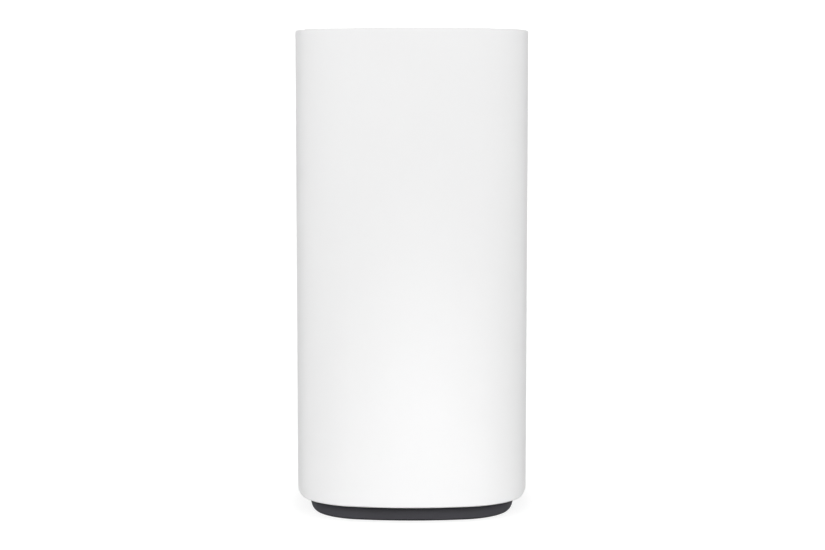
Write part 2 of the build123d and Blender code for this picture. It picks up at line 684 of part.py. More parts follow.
with BuildPart() as io_panel:
    with BuildSketch(rear_plane(PANEL_FACE)):
        with Locations(PANEL_CENTRE):
            Rectangle(PANEL_WIDTH, PANEL_TOP - DECK_TOP)
    extrude(amount=PANEL_THICKNESS)
    with BuildSketch(rear_plane(PANEL_FACE - PANEL_THICKNESS)):
        with Locations(PANEL_CENTRE):
            Rectangle(PANEL_WIDTH, PANEL_TOP - DECK_TOP)
            Rectangle(PANEL_WIDTH - RETURNS, PANEL_TOP - DECK_TOP - RETURNS, mode=Mode.SUBTRACT)
    extrude(amount=PANEL_RETURN - PANEL_THICKNESS)
    with BuildSketch(rear_plane(PANEL_FACE)):
        with Locations(*[(MOUTH_CENTRE, z) for z in JACK_HEIGHTS]):
            Rectangle(MOUTH_TALL, MOUTH_WIDTH)
        with Locations((0, INLET_Z)):
            Circle(INLET_NOSE + INLET_NOSE_GAP)
        with Locations((0, PAIR_Z)):
            Circle(PAIR_RADIUS + PAIR_GAP)
    extrude(amount=PANEL_THICKNESS, mode=Mode.SUBTRACT)
    outer_face = io_panel.faces().filter_by(Axis.Y).sort_by(Axis.Y)[-1]
    chamfer(outer_face.inner_wires().edges(), MOUTH_CHAMFER)
    with BuildSketch(rear_plane(PANEL_FACE)):
        with Locations((0, ROCKER_Z)):
            Rectangle(2 * (HOUSING_HALF_WIDTH + HOUSING_GAP), 2 * (HOUSING_HALF_HEIGHT + HOUSING_GAP))
    extrude(amount=PANEL_THICKNESS, mode=Mode.SUBTRACT)
save(io_panel, "io_panel")

# ---------------------------------------------------------------- network jacks
SHIELD_GAP = 0.15
JACK_CENTRE = BOARD_FACE + JACK_TALL / 2
PLUG_CENTRE = PLUG_LOW + PLUG_TALL / 2
LATCH_CENTRE = PLUG_LOW + PLUG_TALL + LATCH_TALL / 2


def plug_mouth(height, gap=0.0):
    """The stepped outline of a modular plug and its latch, turned on its side."""
    with BuildSketch(mode=Mode.PRIVATE) as mouth:
        with Locations((PLUG_CENTRE, height)):
            Rectangle(PLUG_TALL + 2 * gap, PLUG_WIDTH + 2 * gap)
        with Locations((LATCH_CENTRE, height)):
            Rectangle(LATCH_TALL + 2 * gap, LATCH_WIDTH + 2 * gap)
    return mouth.sketch


for number, jack_z in enumerate(JACK_HEIGHTS, start=1):
    with BuildPart() as jack_shield:
        with BuildSketch(rear_plane(JACK_FRONT)):
            with Locations((JACK_CENTRE, jack_z)):
                Rectangle(JACK_TALL, JACK_WIDTH)
        extrude(amount=JACK_DEPTH)
        with BuildSketch(rear_plane(JACK_FRONT - SHEET)):
            with Locations((JACK_CENTRE - SHEET / 2, jack_z)):
                Rectangle(JACK_TALL - SHEET, JACK_WIDTH - 2 * SHEET)
        extrude(amount=JACK_DEPTH - 2 * SHEET, mode=Mode.SUBTRACT)
        with BuildSketch(rear_plane(JACK_FRONT)):
            add(plug_mouth(jack_z, SHIELD_GAP))
        extrude(amount=SHEET, mode=Mode.SUBTRACT)
    save(jack_shield, f"jack_shield_{number}")

    with BuildPart() as jack_housing:
        with BuildSketch(rear_plane(JACK_FRONT - SHEET)):
            with Locations((JACK_CENTRE - SHEET / 2, jack_z)):
                Rectangle(JACK_TALL - SHEET, JACK_WIDTH - 2 * SHEET)
        extrude(amount=JACK_DEPTH - 2 * SHEET)
        with BuildSketch(rear_plane(JACK_FRONT - SHEET)):
            add(plug_mouth(jack_z))
        extrude(amount=PLUG_DEPTH, mode=Mode.SUBTRACT)
    save(jack_housing, f"jack_housing_{number}")

    # Each contact is a flat wire that runs in along the mouth's side and then slopes into the plug's path
    with BuildPart() as jack_contacts:
        first_wire = jack_z - WIRE_PITCH * (WIRE_COUNT - 1) / 2 - WIRE_WIDTH / 2
        for wire in range(WIRE_COUNT):
            with BuildSketch(level(first_wire + wire * WIRE_PITCH)):
                with BuildLine():
                    Polyline(
                        (PLUG_LOW, WIRE_FRONT),
                        (PLUG_LOW, WIRE_BEND),
                        (PLUG_LOW + WIRE_SPRING, WIRE_TIP),
                        (PLUG_LOW + WIRE_SPRING + WIRE_THICKNESS, WIRE_TIP),
                        (PLUG_LOW + WIRE_THICKNESS, WIRE_BEND),
                        (PLUG_LOW + WIRE_THICKNESS, WIRE_FRONT),
                        close=True,
                    )
                make_face()
            extrude(amount=WIRE_WIDTH)
    save(jack_contacts, f"jack_contacts_{number}")

# ---------------------------------------------------------------- power inlet
with BuildPart() as inlet_housing:
    with BuildSketch(rear_plane(JACK_FRONT)):
        with Locations(((BOARD_FACE + INLET_WIDTH / 2) / 2, INLET_Z)):
            Rectangle(INLET_WIDTH / 2 - BOARD_FACE, INLET_WIDTH)
    extrude(amount=JACK_FRONT - INLET_BACK)
    with BuildSketch(rear_plane(INLET_FRONT)):
        with Locations((0, INLET_Z)):
            Circle(INLET_NOSE)
    extrude(amount=INLET_FRONT - JACK_FRONT)
    with BuildSketch(rear_plane(INLET_FRONT)):
        with Locations((0, INLET_Z)):
            Circle(INLET_BORE)
    extrude(amount=INLET_BORE_DEPTH, mode=Mode.SUBTRACT)
    with BuildSketch(rear_plane(SPRING_FRONT + SPRING_GAP)):
        with Locations((-INLET_BORE, INLET_Z)):
            Rectangle(SPRING_SLOT_DEPTH, SPRING_SLOT_WIDTH)
    extrude(amount=SPRING_LENGTH + 2 * SPRING_GAP, mode=Mode.SUBTRACT)
save(inlet_housing, "inlet_housing")

with BuildPart() as inlet_pin:
    with BuildSketch(rear_plane(INLET_FRONT - INLET_PIN_SUNK)):
        with Locations((0, INLET_Z)):
            Circle(INLET_PIN)
    extrude(amount=INLET_BORE_DEPTH - INLET_PIN_SUNK)
save(inlet_pin, "inlet_pin")

with BuildPart() as inlet_spring:
    with BuildSketch(rear_plane(SPRING_FRONT)):
        with Locations((SPRING_X, INLET_Z)):
            Rectangle(SPRING_THICKNESS, SPRING_WIDTH)
    extrude(amount=SPRING_LENGTH)
save(inlet_spring, "inlet_spring")

# ---------------------------------------------------------------- power rocker
HOUSING_BACK = 27.5
CAVITY_FLOOR = 33.5
BEZEL = 0.8
BEZEL_HALF_WIDTH = 5.8
BEZEL_HALF_HEIGHT = 7.8
BEZEL_CHAMFER = 0.3
PIVOT_END_GAP = 0.1
CAVITY_HALF_WIDTH = ROCKER_HALF_WIDTH + ROCKER_GAP
CAVITY_HALF_HEIGHT = ROCKER_RADIUS + ROCKER_GAP
PIVOT_REACH = ROCKER_HALF_WIDTH + 0.9

with BuildPart() as rocker_housing:
    with BuildSketch(rear_plane(PANEL_FACE + BEZEL)):
        with Locations((0, ROCKER_Z)):
            Rectangle(2 * BEZEL_HALF_WIDTH, 2 * BEZEL_HALF_HEIGHT)
    extrude(amount=BEZEL)
    chamfer(rocker_housing.edges().group_by(Axis.Y)[-1], BEZEL_CHAMFER)
    with BuildSketch(rear_plane(PANEL_FACE)):
        with Locations((0, ROCKER_Z)):
            Rectangle(2 * HOUSING_HALF_WIDTH, 2 * HOUSING_HALF_HEIGHT)
    extrude(amount=PANEL_FACE - HOUSING_BACK)
    with BuildSketch(rear_plane(PANEL_FACE + BEZEL)):
        with Locations((0, ROCKER_Z)):
            Rectangle(2 * CAVITY_HALF_WIDTH, 2 * CAVITY_HALF_HEIGHT)
    extrude(amount=PANEL_FACE + BEZEL - CAVITY_FLOOR, mode=Mode.SUBTRACT)
    with BuildSketch(side_plane(-PIVOT_REACH)):
        with Locations((ROCKER_Y, ROCKER_Z)):
            Circle(PIVOT_RADIUS + PIVOT_GAP)
    extrude(amount=2 * PIVOT_REACH, mode=Mode.SUBTRACT)
save(rocker_housing, "rocker_housing")

ROCKER_PLANE = Plane(
    origin=(-ROCKER_HALF_WIDTH, ROCKER_Y, ROCKER_Z), x_dir=(0, 1, 0), z_dir=(1, 0, 0)
).rotated((ROCKER_TILT, 0, 0))
with BuildPart() as power_rocker:
    with BuildSketch(ROCKER_PLANE):
        Circle(ROCKER_RADIUS)
        with Locations((-ROCKER_BACK - ROCKER_RADIUS, 0)):
            Rectangle(2 * ROCKER_RADIUS, 2 * ROCKER_RADIUS, mode=Mode.SUBTRACT)
        with Locations((ROCKER_DISH_LOW + ROCKER_DISH, 0)):
            Circle(ROCKER_DISH, mode=Mode.SUBTRACT)
    extrude(amount=2 * ROCKER_HALF_WIDTH)
    with BuildSketch(side_plane(PIVOT_END_GAP - PIVOT_REACH)):
        with Locations((ROCKER_Y, ROCKER_Z)):
            Circle(PIVOT_RADIUS)
    extrude(amount=2 * (PIVOT_REACH - PIVOT_END_GAP))
save(power_rocker, "power_rocker")

TERMINAL_Y = 30.0
TERMINAL_PITCH = 5.0
TERMINAL_WIDTH = 2.0
TERMINAL_THICKNESS = 0.6
with BuildPart() as switch_terminals:
    with BuildSketch(side_plane(BOARD_FACE)):
        with Locations((TERMINAL_Y, ROCKER_Z)):
            with GridLocations(0, TERMINAL_PITCH, 1, 2):
                Rectangle(TERMINAL_WIDTH, TERMINAL_THICKNESS)
    extrude(amount=-HOUSING_HALF_WIDTH - BOARD_FACE)
save(switch_terminals, "switch_terminals")

# ---------------------------------------------------------------- pairing button and the two switches
FLANGE_FACE = PANEL_FACE - PANEL_THICKNESS - FLANGE_PLAY
BLADE_FRONT = FLANGE_FACE - FLANGE_THICKNESS
BLADE_TIP = PAIR_SWITCH_FRONT + PLUNGER_REACH + PAIR_PRESS_GAP

with BuildPart() as pairing_button:
    with BuildSketch(rear_plane(PANEL_FACE + PAIR_PROUD)):
        with Locations((0, PAIR_Z)):
            Circle(PAIR_RADIUS)
    extrude(amount=PANEL_FACE + PAIR_PROUD - FLANGE_FACE)
    chamfer(pairing_button.edges().group_by(Axis.Y)[-1], PAIR_CHAMFER)
    with BuildSketch(rear_plane(FLANGE_FACE)):
        with Locations((0, PAIR_Z)):
            RegularPolygon(PAIR_FLANGE, SHANK_SIDES)
    extrude(amount=FLANGE_THICKNESS)
    with BuildSketch(rear_plane(BLADE_FRONT)):
        with Locations((PAIR_BLADE_X, PAIR_Z)):
            Rectangle(PAIR_BLADE_LENGTH, PAIR_BLADE_WIDTH)
    extrude(amount=BLADE_FRONT - BLADE_TIP)
save(pairing_button, "pairing_button")

with BuildPart() as pairing_switch:
    with BuildSketch(rear_plane(PAIR_SWITCH_FRONT)):
        with Locations((BOARD_FACE + SWITCH_TALL / 2, PAIR_Z)):
            Rectangle(SWITCH_TALL, SWITCH_LONG)
    extrude(amount=SWITCH_DEEP)
    with BuildSketch(rear_plane(PAIR_SWITCH_FRONT + PLUNGER_REACH)):
        with Locations((RESET_X, PAIR_Z)):
            RegularPolygon(PLUNGER_RADIUS, HEAD_SIDES)
    extrude(amount=PLUNGER_REACH)
save(pairing_switch, "pairing_switch")

with BuildPart() as reset_switch:
    with BuildSketch(level(RESET_SWITCH_BOTTOM)):
        with Locations((BOARD_FACE + SWITCH_TALL / 2, RESET_Y)):
            Rectangle(SWITCH_TALL, SWITCH_LONG)
    extrude(amount=SWITCH_DEEP)
    with BuildSketch(level(RESET_SWITCH_BOTTOM - PLUNGER_REACH)):
        with Locations((RESET_X, RESET_Y)):
            RegularPolygon(PLUNGER_RADIUS, HEAD_SIDES)
    extrude(amount=PLUNGER_REACH)
save(reset_switch, "reset_switch")
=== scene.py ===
import json
import math
import random

import bmesh
import bpy
from mathutils import Matrix, Vector

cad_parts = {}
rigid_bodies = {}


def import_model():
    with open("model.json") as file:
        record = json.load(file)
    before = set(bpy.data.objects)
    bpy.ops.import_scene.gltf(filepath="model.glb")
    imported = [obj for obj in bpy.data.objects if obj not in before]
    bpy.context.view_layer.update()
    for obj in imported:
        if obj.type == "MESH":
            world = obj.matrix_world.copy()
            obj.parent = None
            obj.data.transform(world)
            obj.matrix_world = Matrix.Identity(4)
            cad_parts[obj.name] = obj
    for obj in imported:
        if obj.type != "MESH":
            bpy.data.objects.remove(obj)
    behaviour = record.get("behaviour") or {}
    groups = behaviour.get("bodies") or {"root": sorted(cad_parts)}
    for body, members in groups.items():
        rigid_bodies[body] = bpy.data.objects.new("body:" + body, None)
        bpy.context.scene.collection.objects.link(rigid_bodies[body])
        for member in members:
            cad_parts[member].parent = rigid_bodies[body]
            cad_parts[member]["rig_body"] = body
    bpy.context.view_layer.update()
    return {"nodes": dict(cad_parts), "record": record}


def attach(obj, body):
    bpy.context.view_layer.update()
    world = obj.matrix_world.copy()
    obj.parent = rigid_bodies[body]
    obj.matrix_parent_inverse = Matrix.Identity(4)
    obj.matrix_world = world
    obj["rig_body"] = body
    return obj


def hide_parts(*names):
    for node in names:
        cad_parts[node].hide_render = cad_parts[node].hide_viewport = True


# Looks of the mesh wifi node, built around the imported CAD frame. Blender's own lengths are in metres;
# every named size below is in millimetres unless it says otherwise.

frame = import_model()

MM = 0.001

# The shell's form
SHELL_WIDTH = 88.0
SHELL_SAGITTA = 9.55
SHELL_CORNER = 25.56
SHELL_WALL = 2.4
SHELL_LOW = 6.1
SHELL_HIGH = 180.0
BOTTOM_ROUND = 0.5
RIM_ROUND = 0.25
LIP_ROUND = 0.4

# The connector opening in the shell's rear
STRIP_WIDTH = 25.0
STRIP_LOW = 14.0
STRIP_HIGH = 130.0
STRIP_CORNER = 3.0
STRIP_DEPTH = 4.5

# Blocks inside the shell: a seat for each catch of the cap, and a post with a web for each screw
CATCH_SEAT = (3.2, 12.0, 2.0)
CATCH_SEAT_PLACE = (41.2, 0.0, 175.0)
SCREW_REACH = 32.53
POST_SIZE = (6.0, 6.0, 18.6)
POST_WEB = (12.0, 2.0, 18.6)
POST_WEB_REACH = SCREW_REACH + 8.5
POST_MIDDLE = 20.7

# The screws' section as (radius, height), from the head up, and their lobed sockets
SCREW_SECTION = ((2.2, 2.35), (2.5, 2.45), (2.6, 2.7), (2.6, 4.3), (1.5, 4.3), (1.5, 22.0), (1.1, 22.4))
SOCKET_RADIUS = 1.15
SOCKET_LOBE = 0.28
SOCKET_LOBES = 6
SOCKET_ENDS = (1.5, 3.4)

# Places of the small details
ROCKER_Z = 38.5
ROCKER_Y = 38.8
ROCKER_TILT = 10.0
ROCKER_DISH = 12.0
ROCKER_DISH_LOW = 2.2
ROCKER_SIGN_OFFSET = 3.0
JACK_HEIGHTS = (56.0, 73.0, 90.0, 107.0)
PAIRING_HEIGHT = 122.0
INLET_HEIGHT = 23.0
LIGHT_SIZE = (1.2, 0.5, 2.4)
LIGHT_X = -9.2
LIGHT_SHIFT = 2.6
LIGHT_SUNK = 0.15
LIGHT_ROUND = 0.12
PANEL_FACE = 40.4
MARK_X = 9.6
PRINT_DEPTH = 0.03
LABEL_Y = -15.0
LABEL_FACE = 0.3
BASE_FACE = 0.3
DIAL_PLACE = (10.0, -9.0)

# The label's print
LABEL_LEFT = -14.0
LABEL_ROWS = ((12.0, 6.6), (9.0, 5.2), (13.0, 3.8), (7.5, 2.4), (11.0, 1.0))
WORD_GAP = 0.55
WORD_HEIGHT = 0.62
TITLE_HEIGHT = 0.95
BARS_END = 2.0
BARS_MIDDLE = -4.6
BARS_HEIGHT = 4.2
CODE_CELL = 0.52
CODE_CELLS = 13
CODE_CORNER = (5.6, 0.6)
SIGNS_Y = -4.2

# How finely round forms are divided
SIDE_STEPS = 28
CORNER_STEPS = 24
ROUND_STEPS = 4
ARC_STEPS = 24
OPENING_STEPS = 8
SCREW_SIDES = 32
SOCKET_SIDES = 48

# CAD nodes that are shown with rounded edges, and the width of the rounding
SOFT_EDGES = {
    "vent_cap": 0.22,
    "base_tray": 0.25,
    "io_panel": 0.18,
    "rocker_housing": 0.12,
    "power_rocker": 0.18,
    "pairing_button": 0.15,
    "inlet_housing": 0.12,
    "light_pipe": 0.12,
    "foot_ring": 0.12,
    "reset_button": 0.12,
}
SOFT_SEGMENTS = 2
SOFT_SHARP = 30.0

# Light and camera, with places and the spot's radius in metres and angles in degrees.
# SKY_STOPS are (Z of the direction, brightness).
FLOOR_TONE = 0.35
FLOOR_GLOW = 0.75
BACKDROP_GLOW = 1.2
SKY_STOPS = ((-1.0, 0.02), (0.14, 0.03), (0.27, 1.0), (0.42, 1.0), (0.58, 0.06), (1.0, 0.03))
SKY_GAIN = 4.31
SKY_FRONT = (-0.08, -1.0, 0.0)
SKY_FRONT_BOOST = 0.2
LOW_SPOT_POWER = 41.0
LOW_SPOT_CONE = 3.0
LOW_SPOT_RADIUS = 0.015
LOW_SPOT_PLACE = (0.03, -0.62, 1.59)
LOW_SPOT_TARGET = (0.006, -0.044, -0.006)
CAMERA_PLACE = (0.00024, -0.693, 0.156)
CAMERA_PITCH = 5.661
CAMERA_LENS = 79.07

DOWN = Vector((0, 0, -1))
REAR = Vector((0, 1, 0))


# ---------------------------------------------------------------- material helpers

def new_material(name, color, roughness, metallic=0.0, specular=0.5):
    """A material with one Principled shader whose plain values are on its own sockets."""
    material = bpy.data.materials.new(name)
    material.use_nodes = True
    shader = material.node_tree.nodes["Principled BSDF"]
    shader.inputs["Base Color"].default_value = (*color, 1.0)
    shader.inputs["Roughness"].default_value = roughness
    shader.inputs["Metallic"].default_value = metallic
    shader.inputs["Specular IOR Level"].default_value = specular
    return material, material.node_tree, shader


def object_coordinates(tree):
    return tree.nodes.new("ShaderNodeTexCoord").outputs["Object"]


def noise(tree, scale, detail=2.0, roughness=0.5, coordinates=None):
    node = tree.nodes.new("ShaderNodeTexNoise")
    node.inputs["Scale"].default_value = scale
    node.inputs["Detail"].default_value = detail
    node.inputs["Roughness"].default_value = roughness
    tree.links.new(coordinates or object_coordinates(tree), node.inputs["Vector"])
    return node.outputs["Fac"]


def remap(tree, value, low, high):
    """The middle of a noise's range spread from low to high."""
    node = tree.nodes.new("ShaderNodeMapRange")
    node.inputs["From Min"].default_value = 0.3
    node.inputs["From Max"].default_value = 0.7
    node.inputs["To Min"].default_value = low
    node.inputs["To Max"].default_value = high
    tree.links.new(value, node.inputs["Value"])
    return node.outputs["Result"]


def blend_colors(tree, value, low_color, high_color):
    """Two colours over the middle of a noise's range."""
    node = tree.nodes.new("ShaderNodeValToRGB")
    node.color_ramp.elements[0].position = 0.3
    node.color_ramp.elements[0].color = (*low_color, 1.0)
    node.color_ramp.elements[1].position = 0.7
    node.color_ramp.elements[1].color = (*high_color, 1.0)
    tree.links.new(value, node.inputs["Fac"])
    return node.outputs["Color"]


def bump(tree, shader, height, depth):
    """Relief from a noise; the depth is in millimetres."""
    node = tree.nodes.new("ShaderNodeBump")
    node.inputs["Strength"].default_value = 1.0
    node.inputs["Distance"].default_value = depth * MM
    tree.links.new(height, node.inputs["Height"])
    tree.links.new(node.outputs["Normal"], shader.inputs["Normal"])


def shade(color, factor):
    return tuple(min(1.0, channel * factor) for channel in color)


def moulded_plastic(name, color, roughness, grain=2600.0, depth=0.012, variation=0.03, specular=0.5):
    """Injection-moulded plastic: a spark-eroded grain, and slow drifts of tone and gloss."""
    material, tree, shader = new_material(name, color, roughness, specular=specular)
    drift = noise(tree, 38.0, 3.0)
    tone = blend_colors(tree, drift, shade(color, 1 - variation), shade(color, 1 + variation))
    tree.links.new(tone, shader.inputs["Base Color"])
    gloss = remap(tree, noise(tree, 140.0), roughness - 0.04, roughness + 0.05)
    tree.links.new(gloss, shader.inputs["Roughness"])
    bump(tree, shader, noise(tree, grain, 3.0, 0.6), depth)
    return material


def metal(name, color, roughness, stretch=(1.0, 1.0, 1.0)):
    """Sheet or turned metal with a brushed grain, which a stretch draws out along an axis."""
    material, tree, shader = new_material(name, color, roughness, metallic=1.0)
    mapping = tree.nodes.new("ShaderNodeMapping")
    mapping.inputs["Scale"].default_value = stretch
    tree.links.new(object_coordinates(tree), mapping.inputs["Vector"])
    grain = noise(tree, 900.0, 3.0, 0.6, mapping.outputs["Vector"])
    tree.links.new(remap(tree, grain, roughness - 0.07, roughness + 0.1), shader.inputs["Roughness"])
    tone = blend_colors(tree, noise(tree, 160.0), shade(color, 0.93), shade(color, 1.04))
    tree.links.new(tone, shader.inputs["Base Color"])
    bump(tree, shader, grain, 0.004)
    return material


def rubber(name, color, roughness):
    """Moulded rubber: matte, with a coarse skin and a dusty bloom."""
    material, tree, shader = new_material(name, color, roughness, specular=0.35)
    tone = blend_colors(tree, noise(tree, 90.0, 4.0), shade(color, 0.8), shade(color, 1.5))
    tree.links.new(tone, shader.inputs["Base Color"])
    bump(tree, shader, noise(tree, 1500.0, 4.0, 0.65), 0.02)
    return material


def circuit_board(name):
    """Solder mask over copper: faint traces and a satin coat."""
    color = (0.012, 0.075, 0.035)
    material, tree, shader = new_material(name, color, 0.34)
    cells = tree.nodes.new("ShaderNodeTexBrick")
    cells.inputs["Scale"].default_value = 260.0
    cells.inputs["Mortar Size"].default_value = 0.05
    cells.inputs["Color1"].default_value = (*color, 1.0)
    cells.inputs["Color2"].default_value = (*shade(color, 1.25), 1.0)
    cells.inputs["Mortar"].default_value = (*shade(color, 1.9), 1.0)
    tree.links.new(object_coordinates(tree), cells.inputs["Vector"])
    tree.links.new(cells.outputs["Color"], shader.inputs["Base Color"])
    bump(tree, shader, noise(tree, 700.0), 0.01)
    return material


def frosted_lens(name):
    """Translucent plastic over a lamp, with a fine matte skin."""
    material, tree, shader = new_material(name, (0.86, 0.88, 0.90), 0.35)
    shader.inputs["Transmission Weight"].default_value = 0.5
    shader.inputs["IOR"].default_value = 1.49
    bump(tree, shader, noise(tree, 1800.0, 3.0), 0.006)
    return material


# ---------------------------------------------------------------- the record's material slots

PLASTICS = {
    "white_shell": {"color": (0.88, 0.88, 0.882), "roughness": 0.46, "variation": 0.005},
    # The cap is the same white plastic as the shell; its darker tone here is painted shade that offsets the
    # stronger light on the top. The panel and rocker print share this tone.
    "white_cap": {"color": (0.80, 0.80, 0.803), "roughness": 0.6, "variation": 0.006, "specular": 0.2},
    "dark_base": {"color": (0.0455, 0.0445, 0.0530), "roughness": 0.5, "variation": 0.08},
    "label_film": {"color": (0.30, 0.30, 0.31), "roughness": 0.38, "grain": 900.0, "depth": 0.004},
    "dark_panel": {"color": (0.035, 0.035, 0.039), "roughness": 0.52, "variation": 0.08},
    "jack_plastic": {"color": (0.022, 0.022, 0.024), "roughness": 0.4, "grain": 1500.0},
    "internet_plastic": {"color": (0.72, 0.47, 0.03), "roughness": 0.4, "grain": 1500.0},
    "black_plastic": {"color": (0.018, 0.018, 0.019), "roughness": 0.34, "grain": 1400.0, "depth": 0.006},
    "rocker_plastic": {"color": (0.020, 0.020, 0.022), "roughness": 0.3, "grain": 1200.0, "depth": 0.005},
    "button_plastic": {"color": (0.085, 0.085, 0.092), "roughness": 0.42},
    "chip_package": {"color": (0.020, 0.020, 0.021), "roughness": 0.55, "grain": 1800.0},
    "ferrite": {"color": (0.07, 0.07, 0.072), "roughness": 0.6, "grain": 1200.0, "depth": 0.03},
    "chassis_plastic": {"color": (0.11, 0.11, 0.118), "roughness": 0.5},
}
METALS = {
    "jack_shield": {"color": (0.68, 0.67, 0.65), "roughness": 0.28, "stretch": (1.0, 14.0, 1.0)},
    "gold_contact": {"color": (0.90, 0.66, 0.28), "roughness": 0.22},
    "nickel_pin": {"color": (0.74, 0.72, 0.68), "roughness": 0.2},
    "heatsink": {"color": (0.70, 0.71, 0.72), "roughness": 0.34, "stretch": (1.0, 1.0, 0.05)},
    "shield_can": {"color": (0.66, 0.65, 0.62), "roughness": 0.35},
    "antenna_sheet": {"color": (0.80, 0.48, 0.28), "roughness": 0.3},
    "steel_screw": {"color": (0.55, 0.55, 0.56), "roughness": 0.3},
    "capacitor_can": {"color": (0.70, 0.70, 0.72), "roughness": 0.28},
}
RUBBERS = {
    "foot_rubber": {"color": (0.016, 0.016, 0.017), "roughness": 0.8},
    "thermal_pad": {"color": (0.25, 0.27, 0.33), "roughness": 0.7},
    "coax_jacket": {"color": (0.02, 0.02, 0.02), "roughness": 0.5},
}

MATERIALS = {
    "light_lens": frosted_lens("light_lens"),
    "circuit_board": circuit_board("circuit_board"),
}
for make, looks in ((moulded_plastic, PLASTICS), (metal, METALS), (rubber, RUBBERS)):
    for slot_name, look in looks.items():
        MATERIALS[slot_name] = make(slot_name, **look)

SLOT_OF = {entry["node"]: entry["material_slot"] for entry in frame["record"]["subparts"]}


def finish_cad_nodes():
    """Every CAD node gets the material of its slot."""
    for name, node in frame["nodes"].items():
        node.data.materials.clear()
        node.data.materials.append(MATERIALS[SLOT_OF[name]])


# ---------------------------------------------------------------- mesh helpers

def new_piece(name, work):
    """An object from a finished bmesh."""
    mesh = bpy.data.meshes.new(name)
    work.to_mesh(mesh)
    work.free()
    piece = bpy.data.objects.new(name, mesh)
    bpy.context.scene.collection.objects.link(piece)
    return piece


def apply_modifier(piece, kind, **settings):
    bpy.context.view_layer.objects.active = piece
    modifier = piece.modifiers.new("made", kind)
    for key, value in settings.items():
        setattr(modifier, key, value)
    bpy.ops.object.modifier_apply(modifier=modifier.name)


def subtract(piece, cutter):
    apply_modifier(piece, "BOOLEAN", operation="DIFFERENCE", solver="EXACT", object=cutter)
    bpy.data.objects.remove(cutter)


def smooth_by_area(piece, sharp):
    """Smooth shading that keeps large faces flat and breaks at sharp angles."""
    piece.data.shade_smooth()
    piece.data.set_sharp_from_angle(angle=math.radians(sharp))
    apply_modifier(piece, "WEIGHTED_NORMAL", keep_sharp=True)


def finish_piece(piece, body, slot_name):
    """A new piece that rides on a body and has one of the record's finishes."""
    piece.data.materials.append(MATERIALS[slot_name])
    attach(piece, body)


def show_instead(piece, node_name):
    """The piece takes the node's finish and motion, and is shown instead of it."""
    piece.data.materials.clear()
    finish_piece(piece, frame["nodes"][node_name]["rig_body"], SLOT_OF[node_name])
    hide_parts(node_name)


def arc(centre, radius, start, end, steps=ARC_STEPS):
    """Points on an arc, with angles in degrees."""
    angles = [math.radians(start + (end - start) * step / steps) for step in range(steps + 1)]
    return [(centre[0] + radius * math.cos(a), centre[1] + radius * math.sin(a)) for a in angles]


def round_angles(count):
    return [2 * math.pi * step / count for step in range(count)]


def around(radius, angle, height):
    return Vector((radius * math.cos(angle), radius * math.sin(angle), height))


def join_sides(work, lower, upper):
    """Quads between two loops of equal length."""
    count = len(lower)
    for index in range(count):
        following = (index + 1) % count
        work.faces.new((lower[index], lower[following], upper[following], upper[index]))


def loft(work, rings, closed):
    """Quads between rings of equal length; an open loft gets flat ends."""
    loops = [[work.verts.new(point * MM) for point in ring] for ring in rings]
    pairs = list(zip(loops, loops[1:]))
    if closed:
        pairs.append((loops[-1], loops[0]))
    for lower, upper in pairs:
        join_sides(work, lower, upper)
    if not closed:
        work.faces.new(loops[0])
        work.faces.new(list(reversed(loops[-1])))


def add_block(work, size, centre, turn=0.0):
    """A box turned about the tower's axis by turn degrees."""
    corners = bmesh.ops.create_cube(work, size=1.0)["verts"]
    place = Matrix.Rotation(math.radians(turn), 4, "Z") @ Matrix.Translation(Vector(centre) * MM)
    bmesh.ops.transform(work, verts=corners, matrix=place @ Matrix.Diagonal((*(Vector(size) * MM), 1.0)))


# ---------------------------------------------------------------- fine forms over the CAD pieces

def softened(node_name, width):
    """A copy of a CAD piece whose sharp edges are rounded, which is shown in its place."""
    mesh = frame["nodes"][node_name].data.copy()
    mesh.name = f"{node_name}_soft"
    work = bmesh.new()
    work.from_mesh(mesh)
    bmesh.ops.remove_doubles(work, verts=work.verts, dist=0.0005 * MM)
    bmesh.ops.dissolve_limit(
        work,
        angle_limit=math.radians(0.5),
        use_dissolve_boundaries=False,
        verts=work.verts,
        edges=work.edges,
    )
    sharp = math.radians(SOFT_SHARP)
    corners = [edge for edge in work.edges if edge.is_manifold and edge.calc_face_angle() > sharp]
    bmesh.ops.bevel(
        work,
        geom=corners,
        offset=width * MM,
        offset_type="OFFSET",
        segments=SOFT_SEGMENTS,
        profile=0.5,
        affect="EDGES",
        clamp_overlap=True,
        harden_normals=False,
    )
    bmesh.ops.triangulate(work, faces=[face for face in work.faces if len(face.verts) > 4])
    work.to_mesh(mesh)
    work.free()
    piece = bpy.data.objects.new(f"{node_name}_soft", mesh)
    bpy.context.scene.collection.objects.link(piece)
    mesh.shade_smooth()
    apply_modifier(piece, "WEIGHTED_NORMAL", keep_sharp=False, weight=60)
    show_instead(piece, node_name)


def side_arc():
    """Radius and centre of a side arc, the centre of a corner arc and the half angle of a side arc."""
    half = SHELL_WIDTH / 2
    radius = (half**2 + SHELL_SAGITTA**2) / (2 * SHELL_SAGITTA)
    centre = half - radius
    reach = radius - SHELL_CORNER
    corner = (centre + math.sqrt(2 * reach**2 - centre**2)) / 2
    return radius, centre, corner, math.atan2(corner, corner - centre)


def squircle_ring(inset, height):
    """Points round the tower at an inset and a height."""
    radius, centre, corner, half_angle = side_arc()
    side = radius - inset
    bend = SHELL_CORNER - inset
    quarter_points = []
    for step in range(SIDE_STEPS):
        angle = half_angle * (2 * step / SIDE_STEPS - 1)
        quarter_points.append(Vector((centre + side * math.cos(angle), side * math.sin(angle), height)))
    for step in range(CORNER_STEPS):
        angle = half_angle + (math.pi / 2 - 2 * half_angle) * step / CORNER_STEPS
        x = corner + bend * math.cos(angle)
        y = corner + bend * math.sin(angle)
        quarter_points.append(Vector((x, y, height)))
    points = []
    for quarter in range(4):
        turn = Matrix.Rotation(math.radians(90 * quarter), 3, "Z")
        points += [turn @ point for point in quarter_points]
    return points


